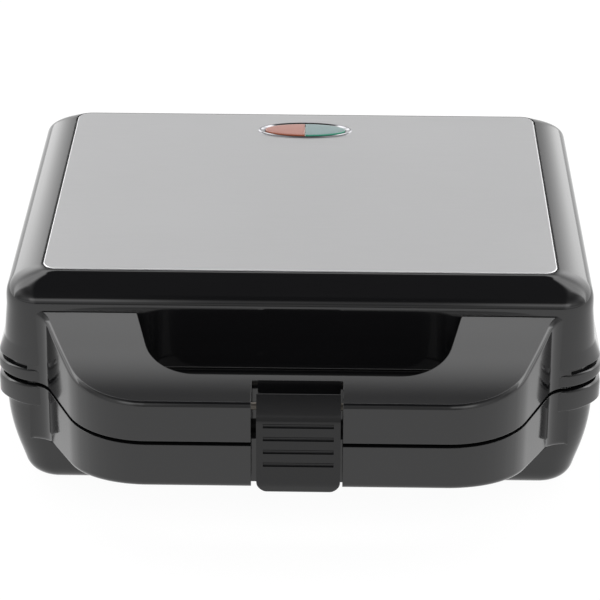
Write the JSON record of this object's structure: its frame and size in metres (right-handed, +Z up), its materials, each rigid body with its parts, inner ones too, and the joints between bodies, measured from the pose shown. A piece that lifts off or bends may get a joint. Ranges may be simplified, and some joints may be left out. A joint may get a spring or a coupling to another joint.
{
  "type": "sandwich toaster",
  "caption": "Clamshell sandwich toaster with black housings, brushed lid panel, lamp window, loop handles, clip latch and triangular cooking pockets.",
  "frame": {"origin": "on the table, under the middle of the closed toaster's bounding box", "axes": "+Z up, -Y towards the handles and the person using it, +X to that person's right"},
  "size_m": [0.24, 0.2492, 0.0947],
  "materials": {
    "gloss_black_plastic": "gloss black moulded ABS",
    "satin_black_plastic": "satin black moulded plastic",
    "nonstick_aluminium": "cast aluminium with dark non-stick coating",
    "brushed_steel": "fine brushed stainless steel",
    "plated_steel": "zinc-plated steel",
    "aluminised_steel": "bare pressed sheet steel",
    "heater_sheath": "dull annealed steel tube",
    "chrome_plate": "bright plated plastic",
    "red_lens": "translucent red plastic",
    "green_lens": "translucent green plastic",
    "white_nylon": "white heat-resistant nylon",
    "red_lamp": "small glass neon lamp",
    "green_lamp": "small glass neon lamp",
    "bakelite": "dark phenolic moulding",
    "fuse_case": "plain metal case",
    "cream_nylon": "cream nylon",
    "foot_rubber": "matt black rubber"
  },
  "bodies": {
    "base": {"clamp_screw_1": "plated_steel", "clamp_screw_2": "plated_steel", "cord_clamp": "satin_black_plastic", "cord_gland": "satin_black_plastic", "front_left_foot": "foot_rubber", "front_right_foot": "foot_rubber", "fuse_clip": "plated_steel", "left_hinge_pin": "plated_steel", "lower_cooking_plate": "nonstick_aluminium", "lower_heat_shield": "aluminised_steel", "lower_heater": "heater_sheath", "lower_housing": "gloss_black_plastic", "lower_plate_frame": "satin_black_plastic", "lower_plate_screw_1": "plated_steel", "lower_plate_screw_2": "plated_steel", "lower_plate_screw_3": "plated_steel", "lower_plate_screw_4": "plated_steel", "rear_left_foot": "foot_rubber", "rear_right_foot": "foot_rubber", "right_hinge_pin": "plated_steel", "terminal_block": "cream_nylon", "thermal_fuse": "fuse_case", "thermostat": "bakelite", "thermostat_screw_1": "plated_steel", "thermostat_screw_2": "plated_steel"},
    "lid": {"green_lamp": "green_lamp", "green_lens": "green_lens", "lamp_bezel": "chrome_plate", "lamp_holder": "white_nylon", "latch_pin": "plated_steel", "red_lamp": "red_lamp", "red_lens": "red_lens", "top_panel": "brushed_steel", "upper_cooking_plate": "nonstick_aluminium", "upper_heat_shield": "aluminised_steel", "upper_heater": "heater_sheath", "upper_housing": "gloss_black_plastic", "upper_plate_frame": "satin_black_plastic", "upper_plate_screw_1": "plated_steel", "upper_plate_screw_2": "plated_steel", "upper_plate_screw_3": "plated_steel", "upper_plate_screw_4": "plated_steel"},
    "latch": {"latch_clip": "satin_black_plastic"}
  },
  "joints": [
    {"name": "lid_hinge", "type": "hinge", "parent": "base", "child": "lid", "pos_m": [0, 0.1191, 0.0475], "axis": [-1, 0, 0], "range_deg": [0, 105]},
    {"name": "latch_pivot", "type": "hinge", "parent": "lid", "child": "latch", "pos_m": [0, -0.1176, 0.061], "axis": [-1, 0, 0], "range_deg": [0, 60]}
  ]
}
